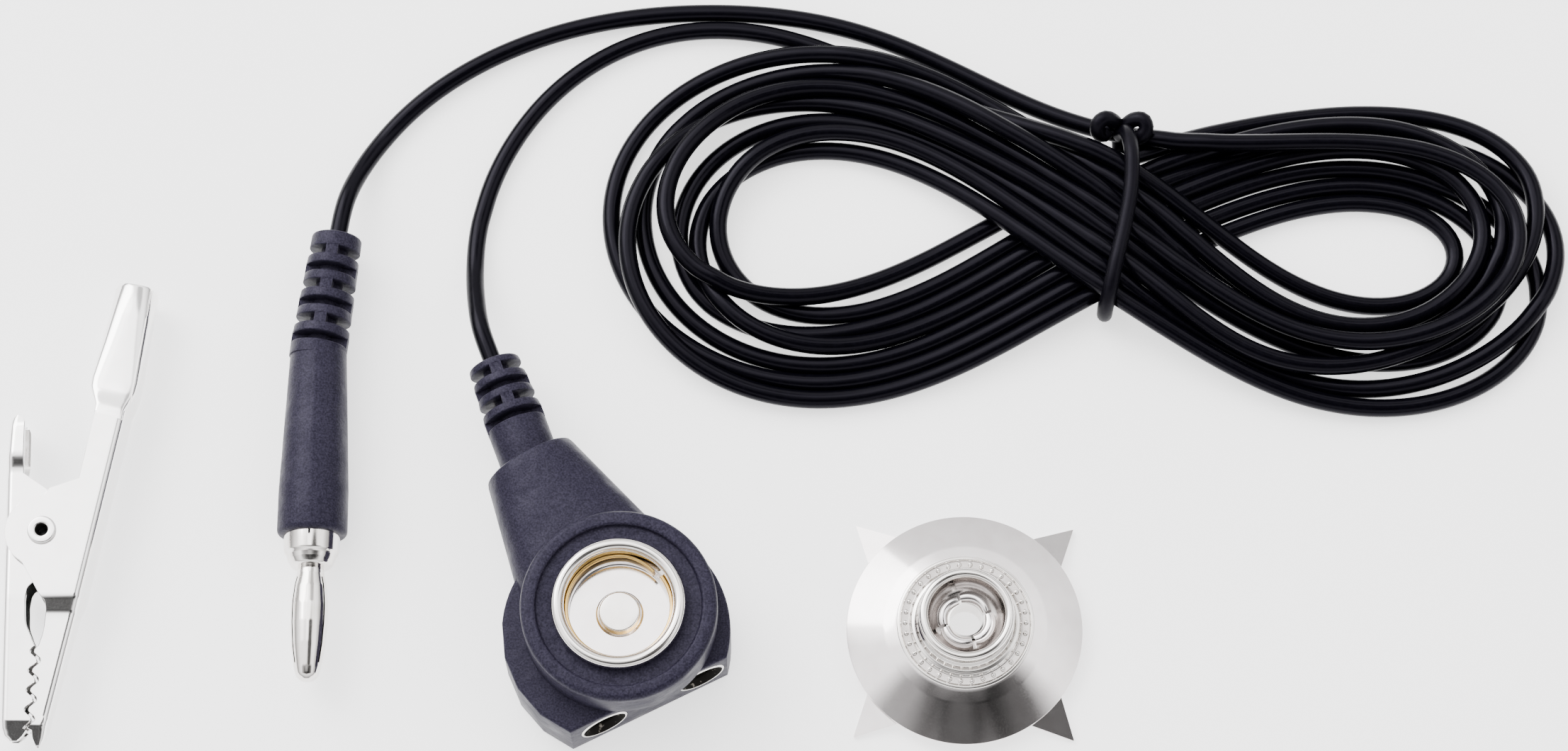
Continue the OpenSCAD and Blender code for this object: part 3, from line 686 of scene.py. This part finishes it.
def make_jacks():
    """Blind nickel sleeves with a rounded lip."""
    profile = rounded([(0, 14), (2.05, 14), (2.05, 0.7, 0.2), (2.42, -0.08, 0.06), (2.7, -0.08, 0.22),
                       (2.7, 14.5), (0, 14.5)])
    for name, x in JACKS.items():
        place = IN_BLOCK @ along_y(x, -FACE_D, JACK_Z)
        mesh = mesh_of(name, lathe(profile, 72), place)
        piece(name + "_lipped", mesh, "ground_block", "bright_nickel", [name])
        # painted shade with painted glints on the inside of each bore
        finish_or_shade(mesh, "dull_bore", place, lambda r, z: r < 2.3 and 0.2 < z < 14.1)


# ---- banana plug ----

def make_plug():
    """Handle with a mould line, shouldered collar with a slit, and a split pin."""
    handle = rounded([(0, 4.1), (2.6, 4.1), (2.6, 0, 0.3), (3.75, 0, 0.55), (3.72, 5), (3.0, 21.1, 0.15),
                      (0, 21.1)])
    verts, faces = lathe(handle, 96)
    seam = [(x * 1.012, y * 1.012, z) if abs(x) < 0.13 and y < 0 else (x, y, z) for x, y, z in verts]
    mesh = mesh_of("plug_handle", (seam, faces), along_y(PLUG_X, 9.9, PLUG_Z))
    handle = piece("plug_handle_moulded", mesh, "ground_block", "black_moulding", ["plug_handle"], 60)
    collar = rounded([(0, 0), (2.15, 0, 0.45), (2.5, 0.75, 0.4), (2.62, 1.2, 0.1), (2.72, 1.35, 0.1),
                      (2.92, 1.6, 0.3), (2.98, 3.5), (2.55, 3.6), (2.55, 7.5), (0, 7.5)])
    mesh = mesh_of("plug_collar", lathe(collar, 96), along_y(PLUG_X, 6.4, PLUG_Z))
    slit = mesh_of("slit", pad([(-0.11, 2.7), (0.11, 2.7), (0.11, 4.5), (-0.11, 4.5)], 2.2, 3.4),
                   turned(PLUG_X, 6.4, PLUG_Z, 0))
    mesh = combined("plug_collar", mesh, slit, "DIFFERENCE")
    collar = piece("plug_collar_shouldered", mesh, "ground_block", "bright_nickel", ["plug_collar"])
    pin = rounded([(0, -2.9), (1.25, -2.9), (1.35, 0), (1.45, 0.8, 1), (1.78, 2.2, 3), (1.98, 4.2, 4),
                   (1.98, 6.2, 4), (1.8, 8.6, 6), (1.42, 11.0, 3), (1.15, 11.95, 1),
                   (0.65, 12.4, 0.5), (0, 12.5)])
    mesh = mesh_of("plug_pin", lathe([(r, -z) for r, z in pin], 96), along_y(PLUG_X, 6.4, PLUG_Z))
    for lean in (58, -58, 180):
        cut = mesh_of("cut", pad([(-0.12, -10.6), (0.12, -10.6), (0.12, -1.2), (-0.12, -1.2)], 0.9, 2.5),
                      turned(PLUG_X, 6.4, PLUG_Z, 0) @ Matrix.Rotation(math.radians(lean), 4, "Y"))
        mesh = combined("plug_pin", mesh, cut, "DIFFERENCE")
    return handle, collar, piece("plug_pin_split", mesh, "ground_block", "bright_nickel", ["plug_pin"])


# ---- crocodile clip, about its rivet ----

TOOTH_PITCH = 2.1
TEETH = (-21.2, -12.4)
THROAT = (6.4, 13.3)
BARREL_LEAN = 8.15


def through(*points):
    """A function that gives x at any y, through points (y, x) in order of y."""
    ys, xs = zip(*points)
    return lambda y: float(np.interp(y, ys, xs))


def toothed(plain, shift):
    """An edge function with the wavy row of teeth put in, moved sideways by shift."""
    def edge(y):
        if not TEETH[0] <= y <= TEETH[1]:
            return plain(y)
        back = TEETH[1] - y
        return shift - 0.04 - 0.048 * back - 0.4 * math.sin(2 * math.pi * back / TOOTH_PITCH)
    return edge


def round_ear(plain, radius, side, low, high):
    """An edge function that follows a circle about the rivet between two heights."""
    return lambda y: side * math.sqrt(radius**2 - y**2) if low <= y <= high else plain(y)


LONG_SPINE = through((-22.9, 0.75), (-22.2, 1.15), (-21.4, 1.35), (-8.7, 3.98), (-7.4, 4.35), (13.4, 8.2))
LONG_MOUTH = round_ear(toothed(through(
    (-22.9, 0.2), (-22.2, -0.1), (-21.2, -0.2), (-12.4, 0.16), (-10.9, 0.6), (-8.4, 0.8), (-7.6, 0.65),
    (-7.0, 0.1), (-5.6, -0.7), (-3.42, -1.97), (3.9, 0.0), (4.7, 0.5), (5.8, 3.6), (14.3, 5.1)), 0.2),
    3.95, -1, -3.42, 3.9)
LONG_HALF = through((-22.9, 0.62), (-20.9, 1.52), (-8.8, 1.95), (-7.2, 2.75), (14, 2.75))
THUMB_SPINE = through((-22.4, -2.6), (-21.9, -3.25), (-21.2, -3.5), (-1.5, -4.05), (6.4, -4.3), (12.3, -4.15),
                      (12.8, -3.95), (13.1, -3.5))
THUMB_MOUTH = round_ear(toothed(through(
    (-22.4, -1.7), (-21.9, -1.1), (-21.2, -0.6), (-12.4, -0.24), (-9.8, -1.35), (-7.3, -1.5), (-6.0, -1.3),
    (-4.2, 0.4), (-2.5, 2.15), (2.5, 2.15), (4.6, 0.5), (6.6, -2.4), (12.3, -2.55), (12.8, -2.75),
    (13.1, -3.2)), -0.2), 3.3, 1, -2.5, 2.5)
THUMB_HALF = through((-22.4, 0.6), (-20.4, 1.5), (-7, 1.95), (7.2, 1.95), (8.4, 2.55), (11.8, 2.45),
                     (13.1, 2.1))


def channel(ys, spine, mouth, half, side, sheet=0.5, bend=0.75):
    """A channel of bent sheet along Y, its spine folded round and its two flanks open towards a side."""
    sections = []
    for y in ys:
        width, high = max(side * (mouth(y) - spine(y)), 0.3), half(y)
        t, fold, soft = min(sheet, 0.4 * width, 0.5 * high), min(bend, 0.45 * width, 0.8 * high), 0.07
        outer = [(width, high - soft), (width - soft, high), (fold + 0.12, high)]
        outer += arc(fold, high - fold, fold, 90, 180, 6)
        inner = [(width, high - t), (fold + 0.12, high - t)]
        inner += arc(fold, high - fold, max(fold - t, 0.02), 90, 180, 3)
        ring = outer + [(u, -v) for u, v in reversed(outer)] + [(u, -v) for u, v in inner] + inner[::-1]
        sections.append([(spine(y) + side * u, y, v) for u, v in ring])
    return loft(sections)


def steps(*stretches):
    """Heights along a jaw, from stretches (start, end, count)."""
    ys = [np.linspace(start, end, count, endpoint=False) for start, end, count in stretches]
    return [float(y) for y in np.concatenate([*ys, [stretches[-1][1]]])]


# Rings along the barrel: how far along, sideways shift, half width, half height, and how square it is
BARREL_RINGS = [
    (-0.5, 0.0, 1.62, 2.76, 14), (0.5, 0.0, 1.64, 2.74, 12), (0.9, -0.05, 1.8, 2.66, 10),
    (1.4, -0.1, 2.0, 2.52, 9), (2.1, -0.15, 2.3, 2.32, 8), (2.7, -0.2, 2.52, 2.24, 7),
    (3.7, -0.2, 2.62, 2.22, 6), (5.5, -0.15, 2.56, 2.22, 4.8), (8, -0.08, 2.47, 2.24, 3.6),
    (11, -0.02, 2.38, 2.28, 2.8), (14.5, 0.0, 2.3, 2.3, 2.2), (14.8, 0.0, 2.18, 2.18, 2.2)]


def barrel_skin():
    """The end of the long jaw: a squarish throat that widens and closes into a round barrel."""
    sections = []
    for s, side, a, b, power in BARREL_RINGS:
        way = math.radians(BARREL_LEAN)
        lean = math.radians(16 - 7 * min(1, max(0, s / 3.5)))
        ring = []
        for k in range(80):
            t = 2 * math.pi * (k + 0.5) / 80
            c, d = math.cos(t), math.sin(t)
            u = side + a * math.copysign(abs(c) ** (2 / power), c)
            ring.append((THROAT[0] + s * math.sin(way) + u * math.cos(lean),
                         THROAT[1] + s * math.cos(way) - u * math.sin(lean),
                         b * math.copysign(abs(d) ** (2 / power), d)))
        sections.append(ring)
    return loft(sections)


def make_clip():
    """The two jaws of pressed sheet with rounded folds, the rolled barrel and the rivet."""
    at = turned(*CLIP_AT, 0)
    ys = steps((-22.9, -21.2, 8), (-21.2, -12.4, 110), (-12.4, -9, 6), (-9, -5.6, 14), (-5.6, 4.7, 40),
               (4.7, 5.8, 4), (5.8, 13.4, 6))
    jaw = mesh_of("clip_long_jaw", channel(ys, LONG_SPINE, LONG_MOUTH, LONG_HALF, -1), at)
    jaw = combined("clip_long_jaw", jaw, rod(1.12, -4, 4, at), "DIFFERENCE")
    piece("clip_long_jaw_sheet", jaw, "clip_frame", "clip_steel", ["clip_barrel_jaw"], 35)
    barrel = mesh_of("clip_barrel", barrel_skin(), at)
    bore = rod(2.05, 0, 13, along_y(CLIP_AT[0] + 6.8, CLIP_AT[1] + 16.9, CLIP_AT[2], -BARREL_LEAN))
    barrel = combined("clip_barrel", barrel, bore, "DIFFERENCE")
    corners = ((-1, -1), (1, -1), (1, 1), (-1, 1))
    seam = [Vector((2.02 - 0.02 * k, 1.2 + k, 2.06 - 0.045 * k)) for k in range(15)]
    rings = [[tuple(p + Vector((0.06 * u, 0, 0.3 * v))) for u, v in corners] for p in seam]
    along = turned(CLIP_AT[0] + THROAT[0], CLIP_AT[1] + THROAT[1], CLIP_AT[2], -BARREL_LEAN)
    slit = mesh_of("slit", loft(rings), along)
    barrel = combined("clip_barrel", barrel, slit, "DIFFERENCE")
    piece("clip_barrel_end", barrel, "clip_frame", "clip_steel", [], 50)
    ys = steps((-22.4, -21.2, 8), (-21.2, -12.4, 110), (-12.4, -2.5, 24), (-2.5, 2.5, 16), (2.5, 6.6, 10),
               (6.6, 12.3, 14), (12.3, 13.1, 6))
    thumb = mesh_of("clip_thumb", channel(ys, THUMB_SPINE, THUMB_MOUTH, THUMB_HALF, 1), at)
    thumb = combined("clip_thumb", thumb, rod(1.12, -4, 4, at), "DIFFERENCE")
    piece("clip_thumb_sheet", thumb, "clip_thumb", "clip_steel", ["clip_thumb_jaw"], 35)
    head = rounded([(0.62, -3.2), (1.4, -3.2, 0.15), (1.55, -2.77, 0.1), (1.1, -2.77), (1.1, 2.77),
                    (1.55, 2.78, 0.12), (1.5, 3.15, 0.22), (0.62, 3.15, 0.25), (0.62, 0)], 5)
    mesh = mesh_of("clip_rivet", lathe(head, 64, closed=True), at)
    piece("clip_rivet_rolled", mesh, "clip_frame", "clip_steel", ["clip_rivet"])
    # painted shade on the inside of the rivet's hole
    finish_or_shade(mesh, "dull_bore", at, lambda r, z: r < 0.72 and z < 3.1)


def make_spring():
    """The torsion spring, fixed in place: a coil on the rivet, which in the real clip winds up as the clip
    opens, with a leg on each jaw.
    """
    radius, half, wire_r = 1.7, 1.15, 0.28
    coil = []
    for k in range(97):
        a = math.radians(105 + 1397 * k / 96)
        coil.append((radius * math.cos(a), radius * math.sin(a), half * (k - 48) / 48))
    first_leg = [(5.2, 3.2, -half), (2.4, 2.4, -half)]
    last_leg = [(-1.2, 2.7, half), (-3.1, 3.8, half)]
    line = hermite(first_leg + coil + last_leg, 0.25)
    sections = []
    for point, along in zip(line, np.gradient(line, axis=0)):
        side = np.cross(along, (0, 0, 1))
        side /= np.linalg.norm(side)
        rise = np.cross(side, along) / np.linalg.norm(along)
        sections.append([tuple(point + wire_r * (c * side + s * rise)) for c, s in arc(0, 0, 1, 0, 330, 11)])
    mesh = mesh_of("clip_spring_wire", loft(sections), turned(*CLIP_AT, 0))
    spring = piece("clip_spring_wound", mesh, None, "tinned_wire", ["clip_spring"], 60)
    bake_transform(spring)


# ---- mat stud plate ----

DOTS = 34
DOTS_R = 6.38


def make_plate():
    """The domed disc, the press stud with its dotted flange, the clinched eyelet and the claws."""
    at = turned(*PLATE_AT, 0)
    disc = rounded([(2.3, 4.1), (7.0, 4.1, 3), (8.6, 3.5, 4), (12.5, 1.62, 0.06), (12.55, 1.5, 0.05),
                    (12.3, 1.14, 0.06), (8.3, 3.05), (6.6, 3.6), (2.3, 3.6)], 6)
    mesh = mesh_of("stud_disc", lathe(disc, 160, closed=True), at)
    piece("stud_disc_domed", mesh, "mat_stud", "satin_nickel", ["stud_disc"], 50)
    cap = rounded([(2.3, 4.12), (7.25, 4.12, 0.05), (7.3, 4.4, 0.14), (6.95, 4.5, 0.15), (6.8, 4.32, 0.15),
                   (5.95, 4.32, 0.2), (5.7, 4.66, 0.2), (5.35, 4.75, 0.25), (5.1, 5.5, 0.3),
                   (4.82, 5.75, 0.2), (4.84, 6.2, 0.2), (5.05, 6.5, 0.3), (5.05, 7.4)], 5)
    cap += arc(4.55, 7.4, 0.5, 0, 170, 16)
    cap += rounded([(4.06, 7.3), (3.98, 6.2, 1.5), (3.3, 5.3, 0.8), (2.3, 5.1)], 6)
    mesh = mesh_of("stud_cap", lathe(cap, 128, closed=True), at)
    piece("stud_cap_rolled", mesh, "mat_stud", "bright_nickel", ["stud_cap"], 60)
    # painted shade: darker nickel in the groove between the dots and in the hollow centre
    finish_or_shade(mesh, "smoked_nickel", at, lambda r, z: 5.95 < r < 6.85 or r < 4.0)
    dots = [], []
    for k in range(DOTS):
        a = 2 * math.pi * k / DOTS
        verts, faces = lathe([(0, 4.2), (0.28, 4.3), (0.25, 4.46), (0.15, 4.58), (0, 4.62)], 14)
        start = len(dots[0])
        dots[0].extend((x + DOTS_R * math.cos(a), y + DOTS_R * math.sin(a), z) for x, y, z in verts)
        dots[1].extend([start + v for v in face] for face in faces)
    piece("stud_flange_dots", mesh_of("stud_dots", dots, at), "mat_stud", "bright_nickel", [], 80)
    tube = rounded([(1.74, 2.3), (3.9, 2.3), (3.9, 2.7), (2.2, 2.7), (2.2, 5.4), (1.74, 5.5)])
    mesh = mesh_of("stud_eyelet", lathe(tube, 72, closed=True), at)
    piece("stud_eyelet_tube", mesh, "mat_stud", "bright_nickel", ["stud_eyelet"])
    for k in range(4):
        sections = []
        for i in range(17):
            share = i / 16
            a = math.radians(22 + 90 * k + 82 * share)
            spread = 2.32 + 0.16 * math.sin(math.pi * share) + 0.12 * share
            tube_r = 0.52 - 0.1 * abs(2 * share - 1) ** 4
            round_it = [(spread + 1.15 * tube_r * c, 5.42 + tube_r * s) for c, s in arc(0, 0, 1, 0, 345, 23)]
            sections.append([(out * math.cos(a), out * math.sin(a), z) for out, z in round_it])
        mesh = mesh_of("petal", loft(sections), at)
        piece("stud_eyelet_petal_%d" % (k + 1), mesh, "mat_stud", "satin_nickel", [], 50)
    washer = rounded([(2.3, 3.35), (6.6, 3.35), (8.4, 2.8), (11.9, 1.1, 0.06), (11.8, 0.72), (8.2, 2.4),
                      (6.5, 2.9), (2.3, 2.9)])
    mesh = mesh_of("claw_washer", lathe(washer, 128, closed=True), at)
    piece("claw_plate_washer", mesh, "mat_stud", "satin_nickel", ["claw_plate"], 50)
    for k, slope in enumerate((9.0, 7.5, 8.0, 10.0)):
        across = [(0, -3.1), (5.9, -0.03), (5.9, 0.03), (0, 3.1)]
        place = at @ turned(0, 0, 0, 44 + 90 * k) @ Matrix.Translation((16.35, 0, 0.02))
        place = place @ Matrix.Rotation(math.radians(slope), 4, "Y") @ Matrix.Translation((-5.9, 0, 0))
        piece("claw_%d" % (k + 1), mesh_of("claw", pad(across, 0, 0.45), place), "mat_stud", "satin_nickel")


# ---- hank tie ----

def make_tie():
    """A glossy wire round the hank's waist, its two ends twisted up at the top."""
    over = [(54.6, 55.6, 5.4), (55.0, 53.0, 6.9), (54.9, 49.0, 7.1), (54.0, 44.0, 7.1), (52.9, 39.5, 7.0),
            (52.3, 36.8, 6.0), (52.0, 35.6, 4.0), (52.0, 35.6, 2.0), (52.2, 37.0, 0.95), (53.3, 44.0, 0.85),
            (54.1, 52.0, 0.85), (54.2, 55.6, 1.0), (54.0, 57.0, 2.4)]
    left = [(53.6, 57.0, 4.2), (53.2, 56.9, 5.4), (52.4, 57.0, 6.0), (51.6, 56.5, 5.9), (51.5, 55.8, 5.1),
            (52.1, 55.6, 4.4), (52.7, 56.1, 4.6)]
    right = [(54.0, 56.0, 3.4), (54.6, 56.6, 4.6), (55.5, 57.0, 5.5), (56.5, 56.8, 5.9), (56.8, 56.0, 5.6),
             (56.3, 55.2, 5.1), (55.5, 55.2, 4.7)]
    line = hermite(right[::-1] + over + left, 0.2)
    made = wire_curve("hank_tie_wire", evenly(line, 0.35), TIE_D)
    made.data.materials.append(MATERIALS["tie_jacket"])
    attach(made, "ground_block")
    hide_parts("hank_tie")
    return made


# ---- stage, lights and camera ----

def make_camera():
    distance, lean = 480 * MM, math.radians(19)
    target = Vector((17.19, 29.27, 0)) * MM
    data = bpy.data.cameras.new("camera")
    data.sensor_width = 36
    data.lens = 101.5
    data.clip_start = 0.01
    camera = bpy.data.objects.new("camera", data)
    bpy.context.scene.collection.objects.link(camera)
    camera.location = target + distance * Vector((0, -math.sin(lean), math.cos(lean)))
    camera.rotation_euler = (lean, 0, 0)
    bpy.context.scene.camera = camera


def make_stage():
    """A pale bench that gives off a little light of its own, as a lit tabletop does."""
    floor = bpy.data.objects.new("floor", mesh_of("floor", (
        [(-900, -900, 0), (900, -900, 0), (900, 900, 0), (-900, 900, 0)], [(0, 1, 2, 3)])))
    bpy.context.scene.collection.objects.link(floor)
    floor.location.z = -0.02 * MM
    material, tree, shader, place = new_material("pale_bench")
    tone = ramp(tree, noise(tree, place, 0.02, 2.0), 0.3, 0.7, 0, 1)
    tree.links.new(mixed(tree, tone, (0.93, 0.93, 0.94), (0.95, 0.95, 0.95)), shader.inputs["Base Color"])
    shader.inputs["Roughness"].default_value = 0.9
    shader.inputs["Emission Color"].default_value = (1, 1, 1, 1)
    shader.inputs["Emission Strength"].default_value = 1.4
    floor.data.materials.append(material)


def soft_box(name, place, size, power):
    data = bpy.data.lights.new(name, "AREA")
    data.shape = "RECTANGLE"
    data.size, data.size_y = size[0] * MM, size[1] * MM
    data.energy = power
    light = bpy.data.objects.new(name, data)
    bpy.context.scene.collection.objects.link(light)
    light.location = Vector(place) * MM
    aim = Vector((17, 25, 0)) * MM - light.location
    light.rotation_euler = aim.to_track_quat("-Z", "Y").to_euler()


# Light and dark cards in the tent: direction, cosines where each begins and is full, and its brightness
CARDS = [((-0.50, 0.50, 0.70), 0.89, 0.97, 2.2), ((0.0, 0.33, 0.95), 0.955, 0.98, 1.6),
         ((0.0, -0.50, 0.86), 0.88, 0.94, 0.30), ((0.0, -0.56, 0.82), 0.95, 0.985, 0.15),
         ((-0.42, -0.43, 0.80), 0.93, 0.98, 0.20), ((0.42, -0.42, 0.80), 0.91, 0.98, 0.05),
         ((0.28, 0.02, 0.96), 0.96, 0.985, 0.05), ((0.26, 0.56, 0.79), 0.965, 0.985, 0.35),
         ((1.0, 0.1, 0.0), 0.80, 0.93, 0.6)]


def multiplied(tree, first, second):
    """The product of two values."""
    node = tree.nodes.new("ShaderNodeMath")
    node.operation = "MULTIPLY"
    tree.links.new(first, node.inputs[0])
    tree.links.new(second, node.inputs[1])
    return node.outputs[0]


def make_world():
    """A white tent, darker towards its foot, with light and dark cards for the metal to mirror."""
    world = bpy.data.worlds.new("studio")
    world.use_nodes = True
    bpy.context.scene.world = world
    tree = world.node_tree
    background = tree.nodes["Background"]
    background.inputs["Color"].default_value = (1.0, 0.99, 0.99, 1)
    place = tree.nodes.new("ShaderNodeTexCoord")
    apart = tree.nodes.new("ShaderNodeSeparateXYZ")
    tree.links.new(place.outputs["Generated"], apart.inputs[0])
    strength = ramp(tree, apart.outputs["Z"], 0.0, 0.65, 0.35, 3.0)
    for direction, low, high, level in CARDS:
        near = tree.nodes.new("ShaderNodeVectorMath")
        near.operation = "DOT_PRODUCT"
        near.inputs[1].default_value = Vector(direction).normalized()
        tree.links.new(place.outputs["Generated"], near.inputs[0])
        strength = multiplied(tree, strength, ramp(tree, near.outputs["Value"], low, high, 1, level))
    tree.links.new(strength, background.inputs["Strength"])


make_camera()
make_stage()
make_world()
soft_box("key", (-300, 300, 300), (330, 330), 1.7)

cord = make_cord()
tie = make_tie()
make_base()
make_head()
make_sleeve("block_bushing", along_y(*inside(BUSHING_EXIT, -BUSHING_LEAN, 11.5), BUSHING_LEAN),
            3.2, 4.0, 11.5, 3.3, 2.8, 4, 0.65, 1.85)
make_socket()
make_jacks()
plug = make_plug()
boot = make_sleeve("plug_boot", along_y(PLUG_X, 31.0, PLUG_Z, -PLUG_LEAN),
                   3.05, 0, 12.9, 3.1, 2.7, 6, 0.7, 2.0)
make_clip()
make_spring()
make_plate()

NODE_SLOTS = {part["node"]: part["material_slot"] for part in frame["record"]["subparts"]}
for name, shown in frame["nodes"].items():
    slot = NODE_SLOTS[name]
    if slot in MATERIALS:
        shown.data.materials.clear()
        shown.data.materials.append(MATERIALS[slot])
